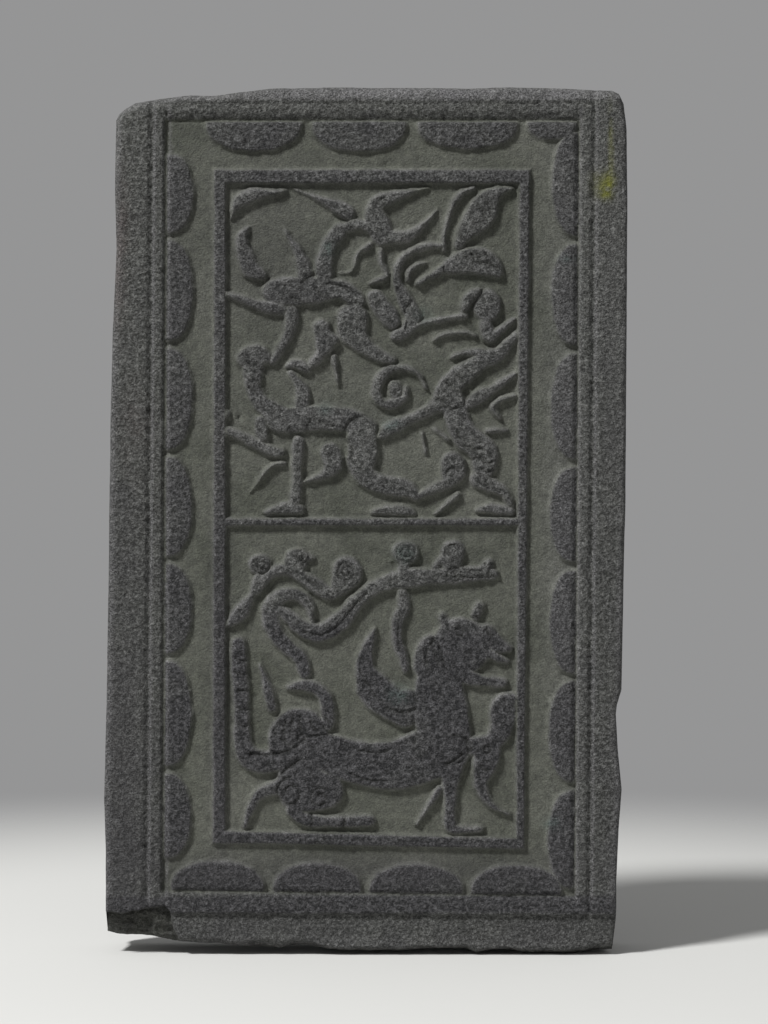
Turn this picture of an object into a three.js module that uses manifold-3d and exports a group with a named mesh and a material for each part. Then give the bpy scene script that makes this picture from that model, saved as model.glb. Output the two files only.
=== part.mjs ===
// Carved stone relief panel: one upright slab with a scalloped border, a barred inner frame in
// two registers, and long-limbed beasts, a bird, a dragon and a tiger left standing proud of a
// sunk ground.
// Millimetres, +Z up. The origin is the middle of the flat back face, the carved face looks
// along -Y, and every outline is drawn in the X-Z plane as [x, z].

import * as THREE from "three";
import { mergeVertices } from "three/addons/utils/BufferGeometryUtils.js";
import Module from "manifold-3d";

// ---- driving dimensions ----------------------------------------------------------------------

const THICKNESS = 120; // back face to the tops of the figures

// How far each surface lies below the tops of the figures.
const drop = { bars: 1.5, border: 2, ground: 10, borderField: 9, footStrip: 8, spall: 24 };
const OVERSHOOT = 2; // how far a cutter stands out of the face it cuts

const limbShape = {
  embed: 3, // how far a figure reaches into the slab below the ground
  draft: 2.2, // how much narrower a limb is at its top than at its foot, each side
  pieceLength: 24, // about how long each straight length of a limb is
};

const border = {
  insideTop: 519,
  insideLeft: [-259, -263], // at the top and at the bottom
  insideRight: [277, 271],
  insideBottom: [-482, -489], // at the left and at the right
  outsideTop: 542,
  outsideLeft: [-278, -286],
  outsideRight: [298, 291],
  outsideBottom: [-508, -513],
  lineWidth: 5,
  lineDepth: 3,
};

const scallop = {
  sideDepth: 38,
  topDepth: 40,
  bottomDepth: 40,
  lastTopDepth: 26,
  fullness: 0.75, // under 1, the crown is flatter than a half ellipse's
  gap: 4, // sunk ground between the feet of two neighbours
  segments: 8,
};

// Where one scallop meets the next, down each side, and where each one starts and ends along
// the top and the bottom.
const leftCusps = [481, 369, 229, 87, -52, -179, -325, -445];
const rightCusps = [511, 365, 222, 74, -60, -205, -347, -485];
const topScallops = [[-212, -82], [-73, 55], [64, 200], [207, 275]];
const bottomScallops = [[-258, -129], [-125, -3], [1, 129], [133, 258]];

// The inner frame. A pair gives the left and the right end of a level line, or the top and the
// bottom of an upright one.
const frame = {
  outside: { left: [-200.6, -202.5], right: [216.4, 209], top: [459, 459], bottom: [-423, -431] },
  inside: { left: [-179.4, -180], right: [196.7, 192.4], top: [435.5, 435.5], bottom: [-402, -411] },
  divider: { top: 5, bottom: -10 },
};

// ---- the slab's outline, worn and broken -------------------------------------------------------

const topEdge = [
  [-323, 530], [-314, 537], [-301, 544], [-279, 548], [-230, 554], [-199, 553], [-172, 557],
  [-124, 563], [-57, 564.5], [88, 564], [133, 563], [186, 565], [283, 562], [299, 561], [321, 560.5],
];
const rightEdge = [
  [330, 556], [336, 542], [339.5, 510], [340.5, 416], [339, 156], [338, 26], [335, -104],
  [333, -221], [325, -247], [328, -299], [333, -351], [329, -403], [326, -470], [326, -519],
];
const bottomEdge = [
  [322, -554], [320, -562], [285, -564], [232, -566], [212, -567], [188, -561.5], [166, -561],
  [144, -565], [130, -560], [84, -560], [35, -562], [0, -563], [-46, -561], [-80, -556],
  [-100, -557], [-113, -560], [-152, -558], [-190, -554], [-250, -550.5], [-279, -544.5],
  [-323, -543], [-337, -539],
];
const leftEdge = [
  [-339, -429], [-341, -364], [-338, -234], [-335, -39], [-333, 130], [-330, 247], [-325, 351],
  [-327, 430], [-326, 515],
];

// The foot's broken lower edge, the worn top edge, and the corner that has flaked away.
const brokenFoot = { starts: -534, depthAtEdge: 34 };
const wornTop = { starts: 546, depthAtEdge: 12 };
const flakedCorner = [[-345, -516], [-318, -512], [-292, -507], [-259, -500], [-252, -560], [-345, -560]];

// ---- figures -------------------------------------------------------------------------------------
// Each limb is a stroke of the chisel: [x, z, half width] at a few places along its middle.

const cornerHook = {
  curl: [[-176, 392, 2], [-168, 412, 8], [-155, 420, 11], [-138, 425, 9], [-120, 426, 6], [-104, 429, 3]],
};

const hornedBeast = {
  hornLeft: [[-134, 318, 8], [-150, 326, 13], [-158, 345, 12], [-162, 362, 10], [-160, 373, 7],
    [-153, 381, 4]],
  hornRight: [[-79, 316, 14], [-83, 335, 10], [-90, 353, 7], [-100, 367, 6], [-106, 378, 4]],
  mane: [[-55, 320, 14], [-52, 345, 12], [-46, 362, 12], [-33, 378, 12]],
  body: [[-122, 298, 16], [-100, 297, 21], [-60, 300, 18], [-30, 299, 14], [-12, 285, 14]],
  haunch: [[-18, 262, 23], [-18, 250, 22]],
  foreArm: [[-180, 294, 5], [-160, 287, 7], [-135, 278, 9], [-110, 275, 10]],
  foreLeg: [[-97, 272, 11], [-99, 250, 9], [-109, 228, 8], [-122, 206, 7]],
  hindLeg: [[-45, 234, 12], [-54, 222, 10], [-62, 211, 8], [-70, 204, 8]],
  hindFoot: [[-103, 200, 5], [-92, 203, 8], [-78, 197, 9]],
  rearLeg: [[-20, 245, 20], [0, 225, 12], [20, 213, 10], [35, 208, 7]],
  spike: [[-42, 212, 6], [-36, 173, 2]],
  thigh: [[-58, 250, 14], [-56, 238, 12], [-58, 224, 9]],
  rump: [[12, 289, 13], [24, 272, 15], [34, 258, 12]],
};

const bird = {
  wingLeft: [[-93, 431, 1.5], [-68, 421, 4], [-45, 411, 9], [-24, 400, 12]],
  wingRight: [[85, 433, 1], [50, 425, 6], [20, 415, 12], [10, 405, 12]],
  body: [[10, 400, 14], [15, 385, 18], [22, 370, 16]],
  link: [[-30, 380, 9], [-10, 385, 9], [5, 380, 8]],
  tail: [[30, 368, 12], [55, 370, 9], [75, 385, 5], [93, 404, 1.5]],
  legLeft: [[5, 358, 6], [-10, 348, 4], [-18, 325, 3], [-35, 322, 2]],
  legRight: [[20, 352, 5], [20, 335, 5], [27, 318, 6], [5, 308, 4]],
};

const bigHornBeast = {
  curl: [[97, 357, 6], [80, 357, 6], [60, 350, 6], [45, 337, 7], [39, 320, 7], [42, 303, 9], [52, 285, 11],
    [62, 265, 12]],
  throat: [[62, 265, 12], [52, 247, 9], [38, 240, 9]],
  innerCurl: [[105, 330, 8], [85, 318, 6], [68, 308, 6]],
  curlTongue: [[54, 312, 4], [57, 324, 5], [66, 332, 5], [78, 335, 3]],
  body: [[110, 331, 13], [138, 338, 19], [160, 333, 17], [172, 322, 9]],
  haunch: [[157, 283, 20], [157, 277, 21]],
  ear: [[101, 352, 5], [102, 372, 5], [107, 392, 5], [114, 412, 6], [126, 427, 6], [140, 432, 4]],
  wing: [[120, 358, 8], [132, 378, 14], [150, 398, 21], [158, 415, 16], [175, 428, 8], [190, 431, 5]],
  lobe: [[128, 275, 8], [135, 290, 9], [146, 299, 6]],
  longLeg: [[130, 266, 6], [112, 264, 5], [92, 260, 5], [72, 255, 5], [55, 246, 7]],
  claw: [[88, 233, 3], [98, 240, 4], [112, 243.5, 4], [132, 243.5, 4], [143, 240, 4]],
  lowerLeg: [[155, 254, 11], [160, 238, 10], [170, 243, 7], [183, 254, 5], [194, 262, 4]],
};

const rightBeast = {
  arm: [[199, 243, 6], [186, 231, 8], [173, 216, 10], [152, 207, 12], [131, 193, 15], [110, 174, 17],
    [100, 158, 15]],
  claw: [[112, 212, 5], [125, 217, 6], [145, 218, 8], [165, 215, 9]],
  neck: [[115, 160, 14], [95, 151, 12], [78, 141, 9], [62, 133, 8], [48, 127, 9], [35, 121, 11],
    [20, 111, 9]],
  body: [[115, 150, 17], [120, 128, 17], [128, 110, 18], [145, 96, 20], [155, 86, 19]],
  haunch: [[155, 84, 19], [153, 68, 17]],
  leftHaunch: [[113, 72, 19], [113, 62, 17], [106, 48, 10], [90, 42, 8], [66, 29, 7]],
  hindLeg: [[146, 52, 13], [165, 44, 11], [180, 36, 9], [187, 22, 8]],
  foot: [[188, 12, 8], [160, 15, 8], [145, 12, 5]],
  hipStrip: [[158, 116, 5], [172, 117, 5], [184, 117, 3]],
  spikeUpper: [[73, 112, 4], [78, 86, 3]],
  spikeLower: [[120, 33, 6], [90, 8, 4]],
  wingUpper: [[197, 192, 4], [182, 182, 6], [165, 170, 8], [148, 162, 11], [135, 152, 8]],
  wingLower: [[195, 162, 5], [175, 156, 6], [165, 146, 6], [174, 133, 4]],
  spur: [[88, 119, 4], [97, 112, 4], [107, 105, 5]],
};

const curledTail = {
  curl: [[78, 172, 3], [68, 190, 5], [50, 198, 7], [30, 195, 8], [17, 182, 9], [13, 165, 9],
    [20, 152, 8], [35, 152, 8], [50, 160, 7], [52, 172, 6]],
  disc: [[38, 172, 12], [38, 167, 12]],
};

const leftBeast = {
  head: [[-155, 211, 17], [-140, 216, 15], [-130, 212, 10]],
  neck: [[-148, 205, 16], [-146, 170, 12], [-134, 150, 14], [-112, 135, 17]],
  body: [[-115, 130, 18], [-80, 132, 18], [-50, 133, 18], [-20, 129, 18], [0, 118, 18]],
  haunch: [[-6, 110, 22], [-4, 94, 22], [-4, 80, 20]],
  ear: [[-98, 192, 6], [-86, 176, 9], [-82, 160, 11], [-85, 145, 11]],
  foreLeg: [[-195, 118, 8], [-170, 112, 8], [-145, 100, 9], [-125, 90, 9], [-110, 88, 8]],
  paw: [[-195, 132, 9], [-182, 138, 7]],
  midLeg: [[-88, 102, 9], [-90, 80, 9], [-90, 50, 9], [-92, 25, 10]],
  midFoot: [[-88, 14, 10], [-110, 15, 9], [-130, 10, 5]],
  leaf: [[-151, 36, 2], [-140, 50, 4], [-131, 63, 5], [-120, 72, 5], [-106, 74, 4]],
  knee: [[-46, 88, 16], [-43, 72, 14], [-52, 60, 8], [-68, 54, 5], [-80, 50, 4]],
  hindLeg: [[-8, 78, 20], [0, 56, 15], [22, 46, 14], [45, 43, 14], [58, 38, 11], [67, 29, 7]],
  ground: [[10, 10, 6], [25, 13, 8], [50, 12, 9], [62, 8, 6]],
  chest: [[-138, 128, 11], [-134, 108, 10]],
};

const dragon = {
  muzzle: [[60, -75, 14], [100, -73, 12], [140, -70, 12], [165, -70, 10]],
  nose: [[150, -64, 7], [160, -57, 9]],
  crest: [[111, -54, 16], [113, -42, 18]],
  eyeDisc: [[50, -43, 18], [53, -43, 18]],
  stem: [[48, -70, 9], [50, -55, 9]],
  neck: [[60, -75, 14], [35, -80, 13], [12, -88, 11], [-10, -104, 12], [-32, -130, 14], [-60, -147, 14],
    [-85, -140, 12], [-105, -122, 10], [-118, -115, 8]],
  loop: [[-70, -135, 5], [-72, -115, 8], [-85, -100, 10], [-103, -97, 11], [-121, -108, 12],
    [-125, -128, 13], [-116, -150, 13], [-100, -167, 12], [-85, -180, 11], [-80, -200, 10]],
  tear: [[-26, -66, 21], [-24, -70, 21], [-42, -96, 9]],
  scrollLeft: [[-140, -58, 15], [-136, -57, 15]],
  scrollRight: [[-92, -56, 18], [-88, -48, 14], [-68, -50, 4]],
  band: [[-145, -93, 8], [-125, -70, 8], [-100, -64, 10], [-80, -76, 11], [-62, -87, 12], [-48, -97, 11]],
  limb: [[-140, -75, 8], [-150, -100, 7], [-165, -122, 11], [-180, -137, 4]],
  foreLeg: [[47, -95, 9], [49, -116, 9], [41, -130, 10], [41, -154, 9], [49, -184, 8], [51, -198, 4]],
  foot: [[-100, -218, 6], [-80, -215, 10], [-62, -222, 10], [-51, -236, 11], [-50, -252, 12], [-50, -268, 10]],
  crestBase: [[88, -64, 6], [99, -50, 7]],
};

const tiger = {
  skull: [[122, -162, 38], [127, -165, 38]],
  ruff: [[88, -172, 26], [85, -188, 26]],
  earLeft: [[104, -135, 9], [100, -126, 9]],
  earRight: [[142, -125, 9], [148, -112, 9]],
  upperJaw: [[158, -148, 15], [172, -162, 13], [185, -167, 8]],
  lip: [[158, -172, 8], [172, -180, 7], [184, -184, 5]],
  lowerJaw: [[120, -200, 14], [145, -208, 10], [178, -212, 8]],
  chest: [[98, -200, 30], [95, -230, 35], [100, -270, 38], [100, -295, 38]],
  wing: [[50, -252, 20], [14, -224, 25], [0, -200, 16], [-2, -182, 13], [5, -160, 9], [12, -140, 3]],
  body: [[100, -295, 38], [45, -318, 34], [-10, -316, 30], [-50, -303, 28]],
  hump: [[-87, -292, 42], [-87, -285, 43]],
  tail: [[-90, -305, 14], [-130, -315, 17], [-154, -308, 16], [-161, -285, 13], [-162, -240, 12], [-165, -200, 13],
    [-166, -161, 12]],
  leaf: [[-138, -189, 4], [-132, -206, 6], [-127, -225, 9], [-122, -245, 9]],
  thinLeg: [[-110, -345, 12], [-140, -358, 9], [-152, -380, 7], [-158, -400, 5]],
  quarter: [[-85, -330, 30], [-85, -350, 32], [-52, -352, 26]],
  hindFoot: [[-95, -378, 12], [-78, -390, 11], [-40, -393, 9], [5, -392, 10]],
  foreLeg: [[110, -310, 22], [110, -350, 11], [109, -398, 10]],
  foreFoot: [[110, -402, 8], [130, -404, 7], [150, -402, 6]],
  strand: [[95, -350, 6], [80, -375, 5], [66, -396, 4]],
  raisedLeg: [[130, -295, 14], [150, -293, 13], [168, -287, 14], [178, -264, 18], [181, -244, 20], [194, -233, 9]],
  raisedFoot: [[158, -300, 20], [154, -320, 17], [149, -342, 11], [162, -370, 6.5], [187, -384, 3]],
  shoulder: [[30, -234, 14], [62, -234, 16]],
};

const figures = [
  cornerHook, hornedBeast, bird, bigHornBeast, rightBeast, curledTail, leftBeast, dragon, tiger,
];

// ---- solids --------------------------------------------------------------------------------------

const wasm = await Module();
wasm.setup();

const between = ([first, last], share) => first + share * (last - first);

// A closed three.js geometry as a manifold solid.
function solid(geometry) {
  const bare = geometry.clone();
  bare.deleteAttribute("normal");
  bare.deleteAttribute("uv");
  const merged = mergeVertices(bare, 1e-4);
  return new wasm.Manifold(
    new wasm.Mesh({
      numProp: 3,
      vertProperties: merged.attributes.position.array,
      triVerts: new Uint32Array(merged.index.array),
    }),
  );
}

// An outline in the X-Z plane, carried back along Y from one drop to another.
function prism(points, dropFront, dropBack) {
  const shape = new THREE.Shape(points.map(([x, z]) => new THREE.Vector2(x, z)));
  const options = { depth: dropBack - dropFront, bevelEnabled: false };
  const geometry = new THREE.ExtrudeGeometry(shape, options);
  geometry.translate(0, 0, THICKNESS - dropBack);
  geometry.rotateX(Math.PI / 2);
  return solid(geometry);
}

// A section of [drop, z] points carried along X over the whole width.
function lengthwise(section) {
  const shape = new THREE.Shape(section.map(([d, z]) => new THREE.Vector2(d - THICKNESS, z)));
  const width = 800;
  const geometry = new THREE.ExtrudeGeometry(shape, { depth: width, bevelEnabled: false });
  geometry.translate(0, 0, -width / 2);
  const toPlace = new THREE.Matrix4().makeBasis(
    new THREE.Vector3(0, 1, 0),
    new THREE.Vector3(0, 0, 1),
    new THREE.Vector3(1, 0, 0),
  );
  return solid(geometry.applyMatrix4(toPlace));
}

// A V-shaped cutter along a line from a to b, into a surface at surfaceDrop.
function groove(a, b, surfaceDrop) {
  const along = new THREE.Vector2(b[0] - a[0], b[1] - a[1]).normalize();
  const side = new THREE.Vector2(-along.y, along.x);
  const { lineWidth, lineDepth } = border;
  const half = (lineWidth / 2) * (1 + OVERSHOOT / lineDepth);
  const yOut = -(THICKNESS - surfaceDrop + OVERSHOOT);
  const yDeep = -(THICKNESS - surfaceDrop - lineDepth);
  const vertices = [a, b].flatMap(([x, z]) => [
    x - half * side.x, yOut, z - half * side.y,
    x + half * side.x, yOut, z + half * side.y,
    x, yDeep, z,
  ]);
  const geometry = new THREE.BufferGeometry();
  geometry.setAttribute("position", new THREE.Float32BufferAttribute(vertices, 3));
  geometry.setIndex([0, 1, 2, 3, 5, 4, 0, 3, 1, 1, 3, 4, 1, 4, 2, 2, 4, 5, 2, 5, 0, 0, 5, 3]);
  return solid(geometry);
}

// ---- border and frame ------------------------------------------------------------------------------

// One scallop from a to b, bulging to the left of that direction.
function scallopOutline(a, b, depth) {
  const along = new THREE.Vector2(b[0] - a[0], b[1] - a[1]);
  const side = new THREE.Vector2(-along.y, along.x).normalize();
  return Array.from({ length: scallop.segments + 1 }, (_, k) => {
    const turn = (Math.PI * k) / scallop.segments;
    const share = (1 - Math.cos(turn)) / 2;
    const bulge = depth * Math.sin(turn) ** scallop.fullness;
    return [a[0] + share * along.x + bulge * side.x, a[1] + share * along.y + bulge * side.y];
  });
}

// Every scallop of the border, each one going round it counterclockwise.
function scallops() {
  const { insideTop, insideLeft, insideRight, insideBottom } = border;
  const onSide = (side, z) => [between(side, (insideTop - z) / (insideTop - insideBottom[0])), z];
  const onBottom = (x) => {
    return [x, between(insideBottom, (x - insideLeft[1]) / (insideRight[1] - insideLeft[1]))];
  };
  const inset = scallop.gap / 2;
  const spans = (cusps) => cusps.slice(1).map((z, k) => [cusps[k] - inset, z + inset]);
  const left = spans(leftCusps).map(([a, b]) =>
    scallopOutline(onSide(insideLeft, a), onSide(insideLeft, b), scallop.sideDepth),
  );
  const right = spans(rightCusps).map(([a, b]) =>
    scallopOutline(onSide(insideRight, b), onSide(insideRight, a), scallop.sideDepth),
  );
  const bottom = bottomScallops.map(([a, b]) =>
    scallopOutline(onBottom(a), onBottom(b), scallop.bottomDepth),
  );
  const top = topScallops.map(([a, b], k, all) => {
    const depth = k === all.length - 1 ? scallop.lastTopDepth : scallop.topDepth;
    return scallopOutline([b, insideTop], [a, insideTop], depth);
  });
  return [...left, ...right, ...bottom, ...top];
}

// A four-sided outline from edges that may lean, counterclockwise.
function leaningBox({ left, right, top, bottom }) {
  return [[left[1], bottom[0]], [right[1], bottom[1]], [right[0], top[1]], [left[0], top[0]]];
}

function insideBorder() {
  const { insideTop, insideLeft, insideRight, insideBottom } = border;
  return leaningBox({
    left: insideLeft,
    right: insideRight,
    top: [insideTop, insideTop],
    bottom: insideBottom,
  });
}

// The two sunk registers inside the inner frame.
function registers() {
  const { inside, divider } = frame;
  const share = (inside.top[0] - divider.top) / (inside.top[0] - inside.bottom[0]);
  const leftAtBar = between(inside.left, share);
  const rightAtBar = between(inside.right, share);
  const upper = leaningBox({
    left: [inside.left[0], leftAtBar],
    right: [inside.right[0], rightAtBar],
    top: inside.top,
    bottom: [divider.top, divider.top],
  });
  const lower = leaningBox({
    left: [leftAtBar, inside.left[1]],
    right: [rightAtBar, inside.right[1]],
    top: [divider.bottom, divider.bottom],
    bottom: inside.bottom,
  });
  return [upper, lower];
}

function borderLines() {
  const { insideTop, insideLeft, insideRight, insideBottom } = border;
  const { outsideTop, outsideLeft, outsideRight, outsideBottom } = border;
  return [
    [[outsideLeft[0], outsideTop], [outsideRight[0], outsideTop]],
    [[outsideLeft[0], outsideTop], [outsideLeft[1], outsideBottom[0]]],
    [[outsideRight[0], outsideTop], [outsideRight[1], outsideBottom[1]]],
    [[insideLeft[0], insideTop], [insideRight[0], insideTop]],
    [[insideLeft[0], insideTop], [insideLeft[1], insideBottom[0]]],
    [[insideRight[0], insideTop], [insideRight[1], insideBottom[1]]],
    [[insideLeft[1], insideBottom[0]], [insideRight[1], insideBottom[1]]],
  ];
}

// ---- figures ---------------------------------------------------------------------------------------

// The corners of a round section of unit size, seen from the front.
function unitSection(sides) {
  return Array.from({ length: sides }, (_, k) => {
    const turn = (2 * Math.PI * (k + 0.5)) / sides;
    return [Math.cos(turn), Math.sin(turn)];
  });
}

// The convex outline round two round sections a and b, given as x, y = z, z = half width, and
// made narrower all round by shrink. Each side goes to the section that reaches out further.
function limbOutline(a, b, section, shrink) {
  const sides = section.length;
  const apothem = Math.cos(Math.PI / sides);
  const owners = section.map((_, k) => {
    const turn = (2 * Math.PI * (k + 1)) / sides;
    const reach = (s) => s.x * Math.cos(turn) + s.y * Math.sin(turn) + s.z * apothem;
    return reach(a) >= reach(b) ? a : b;
  });
  return section.flatMap(([cos, sin], k) => {
    const corner = (s) => [s.x + (s.z - shrink) * cos, s.y + (s.z - shrink) * sin];
    const before = owners[(k + sides - 1) % sides];
    return owners[k] === before ? [corner(before)] : [corner(before), corner(owners[k])];
  });
}

// One length of a limb, tapering from its foot in the ground to its flat top.
function limbPiece(a, b, section, draft) {
  const foot = limbOutline(a, b, section, 0);
  const top = limbOutline(a, b, section, draft);
  const yFoot = -(THICKNESS - drop.ground - limbShape.embed);
  const vertices = [
    ...foot.flatMap(([x, z]) => [x, yFoot, z]),
    ...top.flatMap(([x, z]) => [x, -THICKNESS, z]),
  ];
  const n = foot.length;
  const triangles = foot.flatMap((_, k) => {
    const next = (k + 1) % n;
    const wall = [k, next, n + k, next, n + next, n + k];
    const isFan = k > 0 && k < n - 1;
    return isFan ? [...wall, 0, k + 1, k, n, n + k, n + k + 1] : wall;
  });
  const geometry = new THREE.BufferGeometry();
  geometry.setAttribute("position", new THREE.Float32BufferAttribute(vertices, 3));
  geometry.setIndex(triangles);
  return solid(geometry);
}

function limb(stroke) {
  const curve = new THREE.CatmullRomCurve3(
    stroke.map(([x, z, half]) => new THREE.Vector3(x, z, half)),
    false,
    "catmullrom",
    0.5,
  );
  const count = Math.max(1, Math.round(curve.getLength() / limbShape.pieceLength));
  const samples = curve.getSpacedPoints(count);
  const widest = Math.max(...samples.map((s) => s.z));
  const narrowest = Math.min(...samples.map((s) => s.z));
  const section = unitSection(widest > 16 ? 12 : widest > 8 ? 8 : 6);
  const draft = Math.min(limbShape.draft, 0.45 * narrowest);
  return samples.slice(1).map((sample, k) => limbPiece(samples[k], sample, section, draft));
}

// ---- the panel -------------------------------------------------------------------------------------

function reliefSlab() {
  const join = (pieces) => pieces.reduce((whole, piece) => whole.add(piece));
  const outline = [...topEdge, ...rightEdge, ...bottomEdge, ...leftEdge].reverse();
  const block = prism(outline, drop.border, THICKNESS);
  const bars = prism(leaningBox(frame.outside), drop.bars, drop.ground + limbShape.embed);
  const carved = join(figures.flatMap((figure) => Object.values(figure).flatMap(limb)));
  const cuts = [
    ...borderLines().map(([a, b]) => groove(a, b, drop.border)),
    lengthwise([
      [-OVERSHOOT, wornTop.starts], [drop.border, wornTop.starts],
      [wornTop.depthAtEdge, 570], [-OVERSHOOT, 570],
    ]),
    lengthwise([
      [-OVERSHOOT, between(border.outsideBottom, 0.5)], [-OVERSHOOT, -570],
      [brokenFoot.depthAtEdge, -570], [drop.footStrip, brokenFoot.starts],
      [drop.footStrip, between(border.outsideBottom, 0.5)],
    ]),
    prism(flakedCorner, -OVERSHOOT, drop.spall),
  ];
  const field = scallops().reduce(
    (whole, outline) => whole.subtract(prism(outline, -2 * OVERSHOOT, drop.borderField + OVERSHOOT)),
    prism(insideBorder(), -OVERSHOOT, drop.borderField),
  );
  const plain = block.subtract(field).subtract(join(cuts));
  const barred = registers().reduce(
    (whole, register) => whole.subtract(prism(register, -OVERSHOOT, drop.ground)),
    plain.add(bars),
  );
  return barred.add(carved);
}

// A manifold solid as a named mesh.
function namedMesh(name, body, material) {
  const made = body.getMesh();
  const geometry = new THREE.BufferGeometry();
  geometry.setAttribute("position", new THREE.BufferAttribute(new Float32Array(made.vertProperties), 3));
  geometry.setIndex(new THREE.BufferAttribute(new Uint32Array(made.triVerts), 1));
  geometry.computeVertexNormals();
  const mesh = new THREE.Mesh(geometry, material);
  mesh.name = name;
  return mesh;
}

const darkStone = new THREE.MeshStandardMaterial({ color: 0x4a4a46, roughness: 0.85, metalness: 0 });

const panel = new THREE.Group();
panel.add(namedMesh("relief_slab", reliefSlab(), darkStone));

export default panel;
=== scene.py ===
import math

import bpy
import numpy as np
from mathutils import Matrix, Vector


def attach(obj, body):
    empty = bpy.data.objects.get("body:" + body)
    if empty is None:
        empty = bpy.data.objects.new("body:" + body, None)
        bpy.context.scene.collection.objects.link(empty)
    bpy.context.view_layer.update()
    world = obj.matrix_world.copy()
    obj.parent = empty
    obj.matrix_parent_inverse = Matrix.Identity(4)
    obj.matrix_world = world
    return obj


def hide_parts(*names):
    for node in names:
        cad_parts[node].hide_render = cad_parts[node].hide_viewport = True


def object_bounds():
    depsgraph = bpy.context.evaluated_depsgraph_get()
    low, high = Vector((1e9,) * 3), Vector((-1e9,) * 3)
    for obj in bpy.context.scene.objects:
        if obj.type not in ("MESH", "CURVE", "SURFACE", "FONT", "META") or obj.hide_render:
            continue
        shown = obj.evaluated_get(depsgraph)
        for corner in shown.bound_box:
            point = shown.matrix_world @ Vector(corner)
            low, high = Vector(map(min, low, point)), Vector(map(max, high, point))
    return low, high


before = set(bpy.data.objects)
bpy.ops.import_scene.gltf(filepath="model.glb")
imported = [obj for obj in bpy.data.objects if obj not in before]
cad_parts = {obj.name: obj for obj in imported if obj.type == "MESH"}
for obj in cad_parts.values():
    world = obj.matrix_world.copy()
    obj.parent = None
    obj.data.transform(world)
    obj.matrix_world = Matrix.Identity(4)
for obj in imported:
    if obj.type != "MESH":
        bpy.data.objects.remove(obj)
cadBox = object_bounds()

# Carved stone relief panel. The carving is worked out as a chart, seen from the front: x to the
# right and z up in millimetres, and for each place how far the stone lies below the tops of the
# figures. A fine sheet takes its depth from the chart and closes round a rough-dressed block.

print("panel: frame loaded, box", [tuple(round(value, 3) for value in corner) for corner in cadBox])


def startFresh():
    # nothing selected, nothing in edit mode
    if bpy.context.mode != "OBJECT":
        bpy.ops.object.mode_set(mode="OBJECT")
    bpy.ops.object.select_all(action="DESELECT")


# the chart

chart = {
    "step": 0.8,     # mm between two places of the chart
    "margin": 6,                            # how far it goes past the slab
}
lowX, lowZ = 1000 * cadBox[0][0], 1000 * cadBox[0][2]
highX, highZ = 1000 * cadBox[1][0], 1000 * cadBox[1][2]
thickness = -1000 * cadBox[0][1]
lineX = np.arange(lowX - chart["margin"], highX + chart["margin"], chart["step"])
lineZ = np.arange(lowZ - chart["margin"], highZ + chart["margin"], chart["step"])
chartX, chartZ = np.meshgrid(lineX, lineZ)


def grain(tall, seed, wide=None):
    # soft random blotches from -1 to 1, each about tall mm high and wide mm across
    def steps(line, size):
        along = (line - line[0]) / size
        low = along.astype(int)
        share = along - low
        return low, share * share * (3 - 2 * share)
    low, share = steps(lineZ, tall)
    lowAcross, shareAcross = steps(lineX, wide or tall)
    dots = np.random.default_rng(seed).uniform(-1, 1, (low[-1] + 2, lowAcross[-1] + 2))
    rows = dots[low] * (1 - share[:, None]) + dots[low + 1] * share[:, None]
    return rows[:, lowAcross] * (1 - shareAcross) + rows[:, lowAcross + 1] * shareAcross


def roughness(size, seed, wide=None, layers=3):
    # grain on grain, each layer half the size and half the strength of the one before
    wide = wide or size
    total = sum(grain(size / 2 ** k, seed + k, wide / 2 ** k) / 2 ** k for k in range(layers))
    return total / 1.4


def pits(size, seed):
    # distance to the nearest of many scattered dots, in sizes: 0 at a dot
    dots = np.random.default_rng(seed)
    cellX = ((lineX - lineX[0]) / size).astype(int)
    cellZ = ((lineZ - lineZ[0]) / size).astype(int)
    offsets = dots.uniform(0.1, 0.9, (cellZ[-1] + 3, cellX[-1] + 3, 2))
    shareX = (lineX - lineX[0]) / size - cellX
    shareZ = (lineZ - lineZ[0]) / size - cellZ
    nearest = np.full(chartX.shape, 9.0)
    for up in (-1, 0, 1):
        for across in (-1, 0, 1):
            dot = offsets[np.ix_(cellZ + 1 + up, cellX + 1 + across)]
            away = np.hypot(across + dot[..., 0] - shareX, up + dot[..., 1] - shareZ[:, None])
            np.minimum(nearest, away, out=nearest)
    return nearest


def smooth(value, start, end):
    # 0 before start, 1 after end, and an easy slope between them
    share = np.clip((value - start) / (end - start), 0, 1)
    return share * share * (3 - 2 * share)


def fade(value, reach):
    # 1 at zero, falling to nearly nothing at twice the reach
    return np.exp(-(value / reach) ** 2)


def blob(x, z, wide, tall):
    # a soft round patch
    return np.exp(-((chartX - x) / wide) ** 2 - ((chartZ - z) / tall) ** 2)


def smoothLine(points, spacing):
    # a Catmull-Rom curve through the points, at about every spacing mm
    p = np.array(points, float)
    p = np.vstack([2 * p[0] - p[1], p, 2 * p[-1] - p[-2]])
    places = []
    for before, start, end, after in zip(p, p[1:], p[2:], p[3:]):
        count = max(1, math.ceil(math.dist(start[:2], end[:2]) / spacing))
        t = (np.arange(count) / count)[:, None]
        leave, arrive = (end - before) / 2, (after - start) / 2
        places.append((2 * t ** 3 - 3 * t ** 2 + 1) * start + (t ** 3 - 2 * t ** 2 + t) * leave
                      + (3 * t ** 2 - 2 * t ** 3) * end + (t ** 3 - t ** 2) * arrive)
    return np.vstack([*places, p[-2]])


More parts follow.
